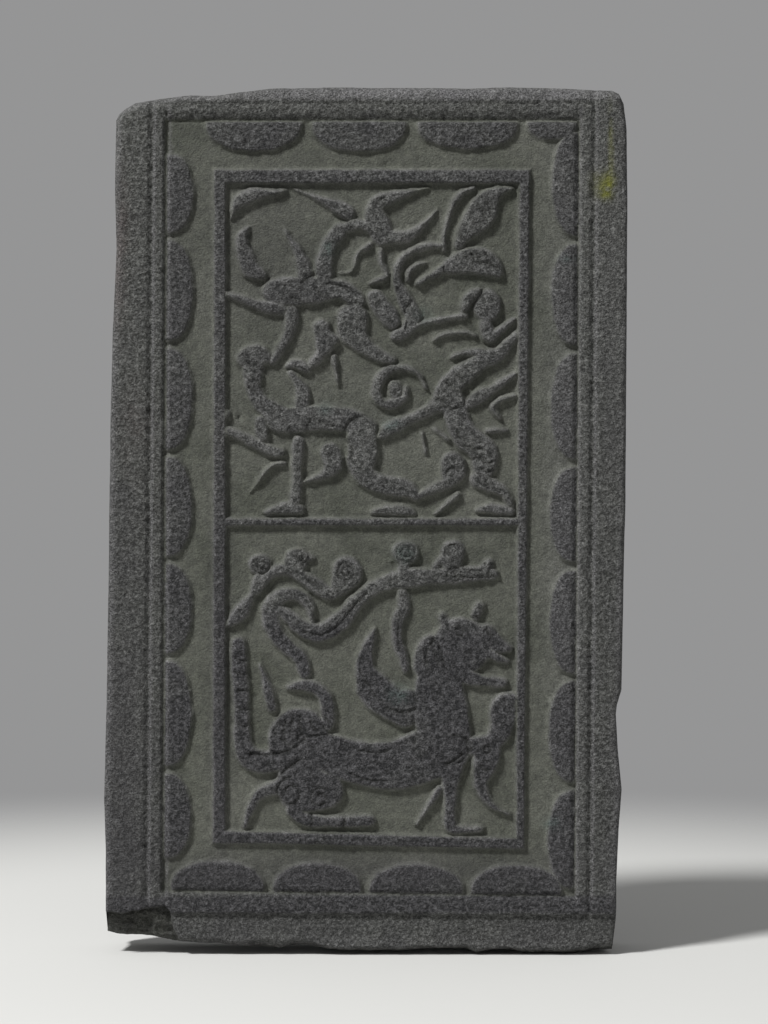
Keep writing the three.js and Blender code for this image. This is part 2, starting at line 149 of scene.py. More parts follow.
def drawLine(field, places, blend=0.0):
    # lowers field to the distance from the line's edge; blend rounds where two lines meet
    reach = 16
    for a, b in zip(places, places[1:]):
        pad = reach + max(a[2], b[2])
        left, right = np.searchsorted(lineX, [min(a[0], b[0]) - pad, max(a[0], b[0]) + pad])
        low, high = np.searchsorted(lineZ, [min(a[1], b[1]) - pad, max(a[1], b[1]) + pad])
        x, z = chartX[low:high, left:right], chartZ[low:high, left:right]
        run = b[:2] - a[:2]
        share = ((x - a[0]) * run[0] + (z - a[1]) * run[1]) / max(run @ run, 1e-6)
        share = np.clip(share, 0, 1)
        away = np.hypot(x - a[0] - share * run[0], z - a[1] - share * run[1])
        away = away - a[2] - share * (b[2] - a[2])
        window = field[low:high, left:right]
        if blend:
            mix = np.clip(0.5 + 0.5 * (window - away) / blend, 0, 1)
            away = window * (1 - mix) + away * mix - blend * mix * (1 - mix)
        np.minimum(window, away, out=window)


# the worn outline

outline = {
    "easing": 160,      # mm from each side that follow the worn edge
    "top": [[-325, 522], [-322, 530], [-314, 537], [-301, 544], [-279, 548], [-230, 554], [-199, 553],
            [-172, 557], [-124, 563], [-57, 564.5], [88, 564], [133, 563], [186, 565], [283, 562],
            [299, 561], [321, 560.5], [330, 556], [336, 542]],
    "bottom": [[-337, -539], [-323, -543], [-279, -544.5], [-250, -550.5], [-190, -554], [-152, -558],
               [-113, -560], [-100, -557], [-80, -556], [-46, -561], [0, -563], [35, -562], [84, -560],
               [130, -560], [144, -565], [166, -561], [188, -561.5], [212, -567], [232, -566],
               [285, -564], [320, -562]],
    "left": [[-339, -429], [-341, -364], [-338, -234], [-335, -39], [-333, 130], [-330, 247],
             [-325, 351], [-327, 430], [-326, 515]],
    "right": [[322, -554], [326, -519], [326, -470], [329, -403], [333, -351], [328, -299],
              [325, -247], [333, -221], [335, -104], [338, 26], [339, 156], [340.5, 416],
              [339.5, 510], [336, 542]],
}


def edgeTop(x):
    return np.interp(x, *zip(*outline["top"]))


def edgeBottom(x):
    return np.interp(x, *zip(*outline["bottom"]))


def edgeLeft(z):
    across, up = zip(*outline["left"])
    return np.interp(z, up, across)


def edgeRight(z):
    across, up = zip(*outline["right"])
    return np.interp(z, up, across)


def fitOutline(x, z):
    # the outer part of a plain box is eased in to the worn outline, three times over for the corners
    def ease(away):
        return np.clip(1 - away / outline["easing"], 0, 1) ** 2
    newX, newZ = x, z
    for turn in range(3):
        newX = x + (edgeLeft(newZ) - lowX) * ease(x - lowX) - (highX - edgeRight(newZ)) * ease(highX - x)
        newZ = z + (edgeBottom(newX) - lowZ) * ease(z - lowZ) - (highZ - edgeTop(newX)) * ease(highZ - z)
    return newX, newZ


# border and frame

border = {
    "inside": {"left": (-259, -263), "right": (277, 271), "top": (519, 519), "bottom": (-482, -489)},
    "outside": {"left": (-278, -286), "right": (298, 291), "top": (542, 542), "bottom": (-508, -513)},
    "leftCusps": [481, 369, 229, 87, -52, -179, -325, -445],
    "rightCusps": [511, 365, 222, 74, -60, -205, -347, -485],
    "topScallops": [[-212, -82, 40], [-73, 55, 40], [64, 200, 37], [207, 278, 25]],
    "bottomScallops": [[-258, -129, 42], [-125, -3, 41], [1, 129, 41], [133, 258, 42]],
    "sideDepth": 38,
    "fullness": 0.75,
    "topEdge": 517,     # z that the top scallops hang from
    "gap": 1.5,         # half the gap between two side scallops
    "drop": 2,
    "fieldDrop": 9,
    "footDrop": 8,
}
bars = {
    "outside": {"left": (-200.6, -202.5), "right": (216.4, 209), "top": (459, 459), "bottom": (-423, -431)},
    "upper": {"left": (-179.4, -179.7), "right": (196.7, 194.6), "top": (435.5, 435.5), "bottom": (5, 5)},
    "lower": {"left": (-179.7, -180), "right": (194.6, 192.4), "top": (-10, -10), "bottom": (-402, -411)},
    "drop": 1.5,
    "groundDrop": 10,
}


def inBox(sides):
    # distance to the edge of a box whose sides may lean, below zero inside it
    (leftTop, leftFoot), (rightTop, rightFoot) = sides["left"], sides["right"]
    (topLeft, topRight), (footLeft, footRight) = sides["top"], sides["bottom"]
    up = (chartZ - footLeft) / (topLeft - footLeft)
    across = (chartX - leftFoot) / (rightFoot - leftFoot)
    left = leftFoot + (leftTop - leftFoot) * up
    right = rightFoot + (rightTop - rightFoot) * up
    top = topLeft + (topRight - topLeft) * across
    foot = footLeft + (footRight - footLeft) * across
    return np.maximum.reduce([left - chartX, chartX - right, foot - chartZ, chartZ - top])


def inScallop(start, end, depth):
    # distance to a scallop's edge; it bulges to the left of the way from start to end
    middle = (np.array(start) + end) / 2
    half = math.dist(start, end) / 2
    along = (np.array(end) - start) / (2 * half)
    reach = half + depth + 20
    left, right = np.searchsorted(lineX, [middle[0] - reach, middle[0] + reach])
    low, high = np.searchsorted(lineZ, [middle[1] - reach, middle[1] + reach])
    x, z = chartX[low:high, left:right] - middle[0], chartZ[low:high, left:right] - middle[1]
    u = (x * along[0] + z * along[1]) / half
    v = (z * along[0] - x * along[1]) / depth
    size = np.sqrt(u ** 2 + np.maximum(v, 1e-3) ** (2 / border["fullness"])) - 1
    slopeZ, slopeX = np.gradient(size, chart["step"])
    away = size / np.maximum(np.hypot(slopeX, slopeZ), 0.4 / half)
    away = np.maximum(away, -v * depth - 6)
    field = np.full(chartX.shape, 60.0)
    field[low:high, left:right] = np.clip(away, -60, 60)
    return field


def onLeft(z):
    inside = border["inside"]
    return (np.interp(z, [inside["bottom"][0], inside["top"][0]], inside["left"][::-1]), z)


def onRight(z):
    inside = border["inside"]
    return (np.interp(z, [inside["bottom"][1], inside["top"][1]], inside["right"][::-1]), z)


def onFoot(x):
    inside = border["inside"]
    return (x, np.interp(x, [inside["left"][1], inside["right"][1]], inside["bottom"]))


def scallopDistance():
    gap, topEdge = border["gap"], border["topEdge"]
    shapes = [inScallop(onLeft(a - gap), onLeft(b + gap), border["sideDepth"])
              for a, b in zip(border["leftCusps"], border["leftCusps"][1:])]
    shapes += [inScallop(onRight(b + gap), onRight(a - gap), border["sideDepth"])
               for a, b in zip(border["rightCusps"], border["rightCusps"][1:])]
    shapes += [inScallop((b, topEdge), (a, topEdge), depth) for a, b, depth in border["topScallops"]]
    shapes += [inScallop(onFoot(a), onFoot(b), depth) for a, b, depth in border["bottomScallops"]]
    return np.minimum.reduce(shapes)


# the creatures
# Each limb is a stroke of the chisel: x, z and half width at a few places along its middle.

cornerHook = {
    "curl": [[-176, 392, 2], [-168, 412, 8], [-155, 420, 11], [-138, 425, 9], [-120, 426, 6],
             [-104, 429, 3]],
}

hornedBeast = {
    "hornLeft": [[-134, 318, 8], [-150, 326, 13], [-158, 345, 12], [-162, 362, 10], [-160, 373, 7],
                 [-153, 381, 4]],
    "hornRight": [[-79, 316, 14], [-83, 335, 10], [-90, 353, 7], [-100, 367, 6], [-106, 378, 4]],
    "mane": [[-55, 320, 14], [-52, 345, 12], [-46, 362, 12], [-33, 378, 12]],
    "body": [[-122, 298, 16], [-100, 297, 21], [-60, 300, 18], [-30, 299, 14], [-12, 285, 14]],
    "haunch": [[-18, 262, 23], [-18, 250, 22]],
    "foreArm": [[-180, 294, 5], [-160, 287, 7], [-135, 278, 9], [-110, 275, 10]],
    "foreLeg": [[-97, 272, 11], [-99, 250, 9], [-109, 228, 8], [-122, 206, 7]],
    "hindLeg": [[-45, 234, 12], [-54, 222, 10], [-62, 211, 8], [-70, 204, 8]],
    "hindFoot": [[-103, 200, 5], [-92, 203, 8], [-78, 197, 9]],
    "rearLeg": [[-20, 245, 20], [0, 225, 12], [20, 213, 10], [35, 208, 7]],
    "spike": [[-42, 212, 6], [-36, 173, 2]],
    "thigh": [[-58, 250, 14], [-56, 238, 12], [-58, 224, 9]],
    "rump": [[12, 289, 13], [24, 272, 15], [34, 258, 12]],
}

bird = {
    "wingLeft": [[-93, 431, 1.5], [-68, 421, 4], [-45, 411, 9], [-24, 400, 12]],
    "wingRight": [[85, 433, 1], [50, 425, 6], [20, 415, 12], [10, 405, 12]],
    "body": [[10, 400, 14], [15, 385, 18], [22, 370, 16]],
    "link": [[-30, 380, 9], [-10, 385, 9], [5, 380, 8]],
    "tail": [[30, 368, 12], [55, 370, 9], [75, 385, 5], [93, 404, 1.5]],
    "legLeft": [[5, 358, 6], [-10, 348, 4], [-18, 325, 3], [-35, 322, 2]],
    "legRight": [[20, 352, 5], [20, 335, 5], [27, 318, 6], [5, 308, 4]],
}

bigHornBeast = {
    "curl": [[97, 357, 6], [80, 357, 6], [60, 350, 6], [45, 337, 7], [39, 320, 7], [42, 303, 9],
             [52, 285, 11], [62, 265, 12]],
    "throat": [[62, 265, 12], [52, 247, 9], [38, 240, 9]],
    "innerCurl": [[105, 330, 8], [85, 318, 6], [68, 308, 6]],
    "curlTongue": [[54, 312, 4], [57, 324, 5], [66, 332, 5], [78, 335, 3]],
    "body": [[110, 331, 13], [138, 338, 19], [160, 333, 17], [172, 322, 9]],
    "haunch": [[157, 283, 20], [157, 277, 21]],
    "ear": [[101, 352, 5], [102, 372, 5], [107, 392, 5], [114, 412, 6], [126, 427, 6], [140, 432, 4]],
    "wing": [[120, 358, 8], [132, 378, 14], [150, 398, 21], [158, 415, 16], [175, 428, 8], [190, 431, 5]],
    "lobe": [[128, 275, 8], [135, 290, 9], [146, 299, 6]],
    "longLeg": [[130, 266, 6], [112, 264, 5], [92, 260, 5], [72, 255, 5], [55, 246, 7]],
    "claw": [[88, 233, 3], [98, 240, 4], [112, 243.5, 4], [132, 243.5, 4], [143, 240, 4]],
    "lowerLeg": [[155, 254, 11], [160, 238, 10], [170, 243, 7], [183, 254, 5], [194, 262, 4]],
}

rightBeast = {
    "arm": [[199, 243, 6], [186, 231, 8], [173, 216, 10], [152, 207, 12], [131, 193, 15], [110, 174, 17],
            [100, 158, 15]],
    "claw": [[112, 212, 5], [125, 217, 6], [145, 218, 8], [165, 215, 9]],
    "neck": [[115, 160, 14], [95, 151, 12], [78, 141, 9], [62, 133, 8], [48, 127, 9], [35, 121, 11],
             [20, 111, 9]],
    "body": [[115, 150, 17], [120, 128, 17], [128, 110, 18], [145, 96, 20], [155, 86, 19]],
    "haunch": [[155, 84, 19], [153, 68, 17]],
    "leftHaunch": [[113, 72, 19], [113, 62, 17], [106, 48, 10], [90, 42, 8], [66, 29, 7]],
    "hindLeg": [[146, 52, 13], [165, 44, 11], [180, 36, 9], [187, 22, 8]],
    "foot": [[188, 12, 8], [160, 15, 8], [145, 12, 5]],
    "hipStrip": [[158, 116, 5], [172, 117, 5], [184, 117, 3]],
    "spikeUpper": [[73, 112, 4], [78, 86, 3]],
    "spikeLower": [[120, 33, 6], [90, 8, 4]],
    "wingUpper": [[197, 192, 4], [182, 182, 6], [165, 170, 8], [148, 162, 11], [135, 152, 8]],
    "wingLower": [[195, 162, 5], [175, 156, 6], [165, 146, 6], [174, 133, 4]],
    "spur": [[88, 119, 4], [97, 112, 4], [107, 105, 5]],
}

curledTail = {
    "curl": [[78, 172, 3], [68, 190, 5], [50, 198, 7], [30, 195, 8], [17, 182, 9], [13, 165, 9],
             [20, 152, 8], [35, 152, 8], [50, 160, 7], [52, 172, 6]],
    "disc": [[38, 172, 12], [38, 167, 12]],
}

leftBeast = {
    "head": [[-155, 211, 17], [-140, 216, 15], [-130, 212, 10]],
    "neck": [[-148, 205, 16], [-146, 170, 12], [-134, 150, 14], [-112, 135, 17]],
    "body": [[-115, 130, 18], [-80, 132, 18], [-50, 133, 18], [-20, 129, 18], [0, 118, 18]],
    "haunch": [[-6, 110, 22], [-4, 94, 22], [-4, 80, 20]],
    "ear": [[-98, 192, 6], [-86, 176, 9], [-82, 160, 11], [-85, 145, 11]],
    "foreLeg": [[-195, 118, 8], [-170, 112, 8], [-145, 100, 9], [-125, 90, 9], [-110, 88, 8]],
    "paw": [[-195, 132, 9], [-182, 138, 7]],
    "midLeg": [[-88, 102, 9], [-90, 80, 9], [-90, 50, 9], [-92, 25, 10]],
    "midFoot": [[-88, 14, 10], [-110, 15, 9], [-130, 10, 5]],
    "leaf": [[-151, 36, 2], [-140, 50, 4], [-131, 63, 5], [-120, 72, 5], [-106, 74, 4]],
    "knee": [[-46, 88, 16], [-43, 72, 14], [-52, 60, 8], [-68, 54, 5], [-80, 50, 4]],
    "hindLeg": [[-8, 78, 20], [0, 56, 15], [22, 46, 14], [45, 43, 14], [58, 38, 11], [67, 29, 7]],
    "ground": [[10, 10, 6], [25, 13, 8], [50, 12, 9], [62, 8, 6]],
    "chest": [[-138, 128, 11], [-134, 108, 10]],
}

dragon = {
    "muzzle": [[60, -75, 14], [100, -73, 12], [140, -70, 12], [165, -70, 10]],
    "nose": [[150, -64, 7], [160, -57, 9]],
    "crest": [[111, -54, 16], [113, -42, 18]],
    "eyeDisc": [[50, -43, 18], [53, -43, 18]],
    "stem": [[48, -70, 9], [50, -55, 9]],
    "neck": [[60, -75, 14], [35, -80, 13], [12, -88, 11], [-10, -104, 12], [-32, -130, 14], [-60, -147, 14],
             [-85, -140, 12], [-105, -122, 10], [-118, -115, 8]],
    "loop": [[-70, -135, 5], [-72, -115, 8], [-85, -100, 10], [-103, -97, 11], [-121, -108, 12],
             [-125, -128, 13], [-116, -150, 13], [-100, -167, 12], [-85, -180, 11], [-80, -200, 10]],
    "tear": [[-26, -66, 21], [-24, -70, 21], [-42, -96, 9]],
    "scrollLeft": [[-140, -58, 15], [-136, -57, 15]],
    "scrollRight": [[-92, -56, 18], [-88, -48, 14], [-68, -50, 4]],
    "band": [[-145, -93, 8], [-125, -70, 8], [-100, -64, 10], [-80, -76, 11], [-62, -87, 12],
             [-48, -97, 11]],
    "limb": [[-140, -75, 8], [-150, -100, 7], [-165, -122, 11], [-180, -137, 4]],
    "foreLeg": [[47, -95, 9], [49, -116, 9], [41, -130, 10], [41, -154, 9], [49, -184, 8], [51, -198, 4]],
    "foot": [[-100, -218, 6], [-80, -215, 10], [-62, -222, 10], [-51, -236, 11], [-50, -252, 12],
             [-50, -268, 10]],
    "crestBase": [[88, -64, 6], [99, -50, 7]],
}

tiger = {
    "skull": [[122, -162, 38], [127, -165, 38]],
    "ruff": [[88, -172, 26], [85, -188, 26]],
    "earLeft": [[104, -135, 9], [100, -126, 9]],
    "earRight": [[142, -125, 9], [148, -112, 9]],
    "upperJaw": [[158, -148, 15], [172, -162, 13], [185, -167, 8]],
    "lip": [[158, -172, 8], [172, -180, 7], [184, -184, 5]],
    "lowerJaw": [[120, -200, 14], [145, -208, 10], [178, -212, 8]],
    "chest": [[98, -200, 30], [95, -230, 35], [100, -270, 38], [100, -295, 38]],
    "wing": [[50, -252, 20], [14, -224, 25], [0, -200, 16], [-2, -182, 13], [5, -160, 9], [12, -140, 3]],
    "body": [[100, -295, 38], [45, -318, 34], [-10, -316, 30], [-50, -303, 28]],
    "hump": [[-87, -292, 42], [-87, -285, 43]],
    "tail": [[-90, -305, 14], [-130, -315, 17], [-154, -308, 16], [-161, -285, 13], [-162, -240, 12],
             [-165, -200, 13], [-166, -161, 12]],
    "leaf": [[-138, -189, 4], [-132, -206, 6], [-127, -225, 9], [-122, -245, 9]],
    "thinLeg": [[-110, -345, 12], [-140, -358, 9], [-152, -380, 7], [-158, -400, 5]],
    "quarter": [[-85, -330, 30], [-85, -350, 32], [-52, -352, 26]],
    "hindFoot": [[-95, -378, 12], [-78, -390, 11], [-40, -393, 9], [5, -392, 10]],
    "foreLeg": [[110, -310, 22], [110, -350, 11], [109, -398, 10]],
    "foreFoot": [[110, -402, 8], [130, -404, 7], [150, -402, 6]],
    "strand": [[95, -350, 6], [80, -375, 5], [66, -396, 4]],
    "raisedLeg": [[130, -295, 14], [150, -293, 13], [168, -287, 14], [178, -264, 18], [181, -244, 20],
                  [194, -233, 9]],
    "raisedFoot": [[158, -300, 20], [154, -320, 17], [149, -342, 11], [162, -370, 6.5], [187, -384, 3]],
    "shoulder": [[30, -234, 14], [62, -234, 16]],
}

creatures = [cornerHook, hornedBeast, bird, bigHornBeast, rightBeast, curledTail, leftBeast, dragon, tiger]


def creatureDistance():
    # distance to the nearest creature's foot, below zero on the creature
    field = np.full(chartX.shape, 30.0)
    for creature in creatures:
        own = np.full(chartX.shape, 30.0)
        for stroke in creature.values():
            drawLine(own, smoothLine(stroke, 5), blend=2.5)
        np.minimum(field, own, out=field)
    return field


# lines cut into the creatures
# x and z along each line; a ring or a curl is a middle, a first and a last radius, and turns.

creases = {     # where one limb lies over another
    "half": 3.0,
    "depth": 2.6,
    "lines": [
        [[-131, 327], [-127, 321], [-118, 318]], [[-83, 309], [-76, 315], [-67, 320]],
        [[-42, 250], [-40, 262], [-33, 274], [-20, 281], [-5, 281], [4, 272]],
        [[-96, 289], [-86, 284], [-78, 276]], [[-66, 302], [-58, 293], [-49, 288]],
        [[-32, 392], [-24, 388], [-18, 378]], [[-8, 372], [2, 368], [8, 372]],
        [[137, 346], [146, 341], [156, 346]], [[145, 336], [158, 334], [169, 329], [177, 325]],
        [[153, 299], [143, 286], [134, 271]], [[110, 352], [118, 370], [124, 385]],
        [[132, 358], [140, 362], [150, 360]], [[60, 285], [52, 275], [48, 262]],
        [[103, 147], [113, 144], [124, 147]], [[92, 72], [98, 84], [107, 92], [118, 87], [134, 79]],
        [[128, 97], [140, 93], [153, 92]], [[119, 116], [121, 108], [128, 103]],
        [[136, 168], [130, 158], [128, 148]], [[82, 152], [90, 156], [99, 156]],
        [[-28, 117], [-18, 130], [-3, 135], [10, 129], [18, 116]],
        [[-58, 92], [-55, 100], [-46, 104], [-35, 98]],
        [[-152, 203], [-142, 199], [-131, 193]], [[-100, 120], [-96, 112], [-99, 103]],
        [[-72, 130], [-76, 120], [-78, 108]], [[-26, 104], [-18, 92], [-20, 78]],
        [[-122, -338], [-110, -330], [-98, -320], [-86, -312]], [[-28, -383], [-27, -391], [-30, -400]],
        [[-71, -384], [-69, -392], [-72, -399]], [[-165, -222], [-155, -222], [-145, -220]],
        [[130, -284], [136, -292], [135, -303]], [[105, -318], [115, -313], [125, -305]],
        [[130, -124], [138, -127], [146, -127], [158, -131]],
        [[-150, -303], [-135, -306], [-120, -305], [-100, -300]],
        [[-133, -282], [-125, -268], [-112, -255], [-95, -243], [-80, -241], [-65, -247], [-48, -262]],
        [[62, -262], [66, -276], [64, -290]], [[28, -244], [40, -250], [54, -250], [64, -246]],
        [[60, -210], [62, -225], [66, -236]], [[88, -155], [80, -170], [78, -190]],
        [[-110, -150], [-104, -143], [-103, -135]],
    ],
}
chiselLines = {     # eyes, jaws, scales and hair
    "half": 2.6,
    "depth": 2.3,
    "lines": [
        [[-75, -78], [-65, -84], [-55, -88]], [[-68, -65], [-61, -75], [-52, -80]],
        [[0, -96], [-12, -108], [-30, -130], [-42, -142], [-60, -150], [-82, -146]],
        [[127, -62], [135, -66], [150, -66]], [[125, -74], [145, -75], [168, -74]],
        [[128, -81], [145, -82], [166, -80]], [[130, -53], [135, -58], [143, -59]],
        [[102, -45], [105, -36], [115, -32], [127, -36]], [[42, -140], [42, -155], [45, -170]],
        [[95, -165], [99, -180], [105, -195]], [[86, -160], [90, -176], [96, -190]],
        [[150, -198], [165, -203], [180, -209]], [[148, -190], [165, -188], [180, -191]],
        [[-110, -285], [-98, -297], [-88, -293], [-78, -283], [-60, -280], [-45, -278]],
        [[-112, -262], [-119, -271], [-118, -280]], [[-104, -262], [-107, -275], [-105, -287], [-98, -295]],
        [[-95, -260], [-98, -268], [-98, -276]], [[-85, -257], [-86, -266], [-84, -274]],
        [[-72, -262], [-70, -270], [-62, -274]], [[-55, -268], [-50, -276], [-40, -282]],
        [[-169, -180], [-160, -184], [-154, -180]], [[-170, -198], [-160, -202], [-155, -198]],
        [[-168, -244], [-160, -248], [-152, -245]], [[-167, -266], [-158, -269], [-150, -264]],
        [[-20, -330], [0, -338], [25, -340]], [[-10, -300], [12, -303], [30, -300]],
        [[5, -215], [10, -228], [22, -238]], [[-8, -195], [-2, -208], [4, -218]],
        [[148, -320], [154, -326], [162, -325]], [[-52, 428], [-45, 420], [-38, 416]],
        [[30, 426], [22, 418], [14, 412]], [[140, 415], [150, 405], [155, 392]],
        [[152, 420], [160, 409], [163, 397]], [[-60, 128], [-50, 122], [-42, 122]],
        [[-146, 183], [-140, 178], [-136, 172]], [[-152, 172], [-145, 166], [-141, 160]],
        [[105, 178], [113, 172], [119, 164]], [[118, 188], [127, 181], [132, 172]],
        [[150, 78], [158, 74], [165, 76]], [[150, 66], [158, 62], [166, 64]],
    ],
}
overlaps = {    # one limb over another: the higher one is to the left on the way along each line
    "reach": 13,    # how far from the line the lower limb is sunk
    "depth": 3.6,
    "strip": 7,     # half width of the sunk strip, which lies this far to the right of the line
    "lines": [
        [[-35, 234], [-42, 246], [-41, 260], [-33, 274]], [[50, 250], [52, 264], [46, 280], [39, 296]],
        [[-25, 60], [-28, 76], [-28, 98]], [[131, 50], [133, 64], [137, 78]],
        [[130, 78], [118, 86], [107, 91], [98, 86]], [[133, 266], [138, 280], [150, 300]],
        [[100, 330], [104, 342], [106, 352]], [[-45, 310], [-26, 304], [-8, 295]],
        [[-148, -302], [-133, -300], [-118, -300]],
    ],
}
curls = [   # middle x and z, first and last radius, start in degrees, turns
    (-136, -59, 11, 10.5, 0, 1), (-136, -59, 5, 5, 0, 1), (-87, -45, 13, 12, -60, 0.55),
    (-87, -46, 7, 6, -70, 0.6), (-25, -68, 13, 3, 100, 1.7), (52, -42, 12.5, 12.5, 0, 1),
    (52, -42, 6.5, 6.5, 0, 1), (115, -71, 9, 9, 0, 1), (115, -71, 5, 2, 0, 1.3),
    (165, -68, 6, 5, 30, 0.7), (160, -57, 5, 5, -40, 0.7), (122, -146, 4.5, 4.5, 0, 1),
    (165, -144, 8, 4, 160, 0.8), (-98, -355, 20, 6, 90, 1.3), (-60, -362, 14, 5, 60, 1.2),
    (158, -299, 4.5, 4.5, 0, 1), (114, -298, 19, 18, -70, 0.45), (-48, 90, 6, 6, 30, 0.8),
    (38, 170, 9, 5, 60, 0.8), (-84, -285, 5, 5, 0, 1), (112, 60, 8, 7, 20, 0.5),
]
hollows = [     # x, z, half width, half height, depth of small dark hollows
    (-100, 372, 4, 3, 3), (-162, 396, 5, 3, 2.5), (-152, 371, 2.5, 3, 2), (-125, 322, 4, 3, 1.5),
    (-55, 413, 4, 2.5, 1.5), (-143, -229, 2.5, 2.5, 2), (172, -290, 6, 4, 4), (150, -114, 3, 5, 2),
    (103, -129, 3, 4, 1.8), (158, -186, 8, 2, 2.5), (125, 123, 2.5, 2.5, 1.5), (-128, 163, 4, 2, 1),
    (165, 381, 4, 3, 1.5), (-46, 250, 2.5, 2.5, 1), (-166, 133, 2.5, 3, 3), (38, 168, 3, 3, 1.5),
]


def curl(x, z, first, last, start, turns):
    turn = math.radians(start) + np.linspace(0, 2 * math.pi * turns, max(8, int(24 * turns)))
    radius = np.linspace(first, last, len(turn))
    return np.stack([x + radius * np.cos(turn), z + radius * np.sin(turn)], 1)


farAway = 20.0      # mm, further than any cut line reaches


def cutDistance(lines):
    # distance to the middle of the nearest line
    field = np.full(chartX.shape, farAway)
    for line in lines:
        places = smoothLine(line, 3)
        drawLine(field, np.hstack([places, np.zeros((len(places), 1))]))
    return field


def overlapDepth():
    # how far the lower limb sinks beside each line, most at the line itself
    total = np.zeros(chartX.shape)
    for line in overlaps["lines"]:
        places = smoothLine(line, 3)
        side = np.full(chartX.shape, farAway)
        drawLine(side, np.hstack([places, np.zeros((len(places), 1))]))
        lower = np.full(chartX.shape, farAway)
        for a, b in zip(places, places[1:]):
            run = (b - a) / max(np.hypot(*(b - a)), 1e-6)
            aside = overlaps["strip"] * np.array([run[1], -run[0]])
            drawLine(lower, np.array([[*(place + aside), overlaps["strip"]] for place in (a, b)]))
        sunk = smooth(-lower, -0.6, 1.4) * np.clip(1 - side / overlaps["reach"], 0, 1)
        np.maximum(total, sunk, out=total)
    return overlaps["depth"] * total


# the depth of the carving

relief = {
    "wallWidth": 5.6,       # from a creature's foot to the edge of its top
    "wobble": 1.1,          # how far the chisel strays from the line
    "dome": 1.7,            # how much a raised face falls off towards its edges
    "topPlane": 0.25,       # the highest tops lie this far inside the box
}


def wall(away, width):
    # from 0 at the foot to 1 on top, steep at the foot and rounded above
    share = np.clip(-away / width, 0, 1)
    return np.sin(share * math.pi / 2) ** 1.1


def groove(x1, z1, x2, z2, half, depth, lean=0.0):
    # a V along a line; lean above 0 gives it a long left or upper side and a steep right one
    run = np.array([x2 - x1, z2 - z1], float)
    length = np.hypot(*run)
    run /= length
    along = (chartX - x1) * run[0] + (chartZ - z1) * run[1]
    across = (chartZ - z1) * run[0] - (chartX - x1) * run[1] + 0.5 * strayFine
    ends = smooth(along, -half, 2) * smooth(length - along, -half, 2)
    reach = np.where(across < 0, half * (1 - lean), half * (1 + lean))
    return depth * np.clip(1 - np.abs(across) / reach, 0, 1) * ends


stray = roughness(14, 11)
strayFine = roughness(5, 21, layers=2)
wander = relief["wobble"] * stray + 0.7 * strayFine

creatureEdge = creatureDistance() + wander
registers = np.minimum(inBox(bars["upper"]), inBox(bars["lower"])) + wander
barRing = np.maximum(inBox(bars["outside"]), -registers) + 0.6 * wander
insideBorder = inBox(border["inside"])
scallopEdge = np.minimum(scallopDistance(), -insideBorder) + 0.8 * wander
print("panel: outlines drawn")

ground = np.where(registers < 4, bars["groundDrop"], border["fieldDrop"]).astype(float)
ground += 0.5 * roughness(30, 31) + 0.42 * roughness(8, 35)
raisedCreature = wall(creatureEdge, relief["wallWidth"]) * smooth(-registers, -9, -3)
raisedBar = wall(barRing, 5.2)
raisedBorder = wall(scallopEdge + 0.8 * stray, 6.0)

faceRough = 0.6 * roughness(15, 41) + 0.85 * roughness(6, 45, layers=2)
pecked = np.abs(roughness(4.5, 51, wide=11, layers=2))


def top(level, edge, dome):
    # a raised face that falls off softly towards its edge
    return level + dome * np.exp(np.minimum(edge, 0) / 7)


creatureTop = top(relief["topPlane"] + 0.9, creatureEdge + 2, relief["dome"]) + faceRough
barTop = top(bars["drop"] + 0.5, barRing, 1.0) + 0.8 * faceRough + 0.6 * pecked
borderTop = top(border["drop"] + 0.5, scallopEdge + 2, 1.2) + faceRough + 0.7 * pecked

depth = ground.copy()
depth += (borderTop - depth) * raisedBorder
depth += (barTop - depth) * raisedBar
depth += (creatureTop - depth) * raisedCreature

# lines and hollows cut into the creatures
onCreature = smooth(-creatureEdge, -1, 3)
crease = fade(cutDistance(creases["lines"]) + 0.4 * strayFine, creases["half"] * 0.75)
chiselled = chiselLines["lines"] + [curl(*ring) for ring in curls]
fineLine = fade(cutDistance(chiselled) + 0.3 * strayFine, chiselLines["half"] * 0.7)
depth += onCreature * (creases["depth"] * crease + chiselLines["depth"] * fineLine + overlapDepth())
for x, z, wide, tall, deep in hollows:
    depth += deep * blob(x, z, wide, tall)

# the lines round the border
borderLines = {     # half width, depth and lean
    "outerTop": (3.0, 1.6, 0.0),
    "leftUpright": (5.0, 4.4, 0.2),
    "rightUpright": (5.0, 4.2, 0.2),
    "innerFoot": (4.6, 3.0, 0.0),
    "innerTop": (7.5, 4.6, 0.55),
    "uprightHead": 560,     # z where the outer uprights end
}
left, right = border["outside"]["left"], border["outside"]["right"]
topLine, footLine = border["outside"]["top"], border["outside"]["bottom"]
innerLeft, innerRight = border["inside"]["left"], border["inside"]["right"]
innerTop, innerFoot = border["inside"]["top"], border["inside"]["bottom"]
lines = [
    groove(left[0], topLine[0], right[0], topLine[1], *borderLines["outerTop"]),
    groove(left[1], footLine[0] - 8, left[0], borderLines["uprightHead"], *borderLines["leftUpright"]),
    groove(right[1], footLine[1] - 8, right[0], borderLines["uprightHead"], *borderLines["rightUpright"]),
    groove(innerLeft[1], innerFoot[0], innerLeft[0], innerTop[0] + 10, *borderLines["leftUpright"]),
    groove(innerRight[1], innerFoot[1], innerRight[0], innerTop[1] + 10, *borderLines["rightUpright"]),
    groove(innerLeft[1], innerFoot[0], innerRight[1], innerFoot[1], *borderLines["innerFoot"]),
    groove(innerLeft[0], innerTop[0] + 1, innerRight[0], innerTop[1] + 1, *borderLines["innerTop"]),
]
grooves = np.maximum.reduce(lines)
depth += grooves * np.clip(raisedBorder, 0.35, 1)

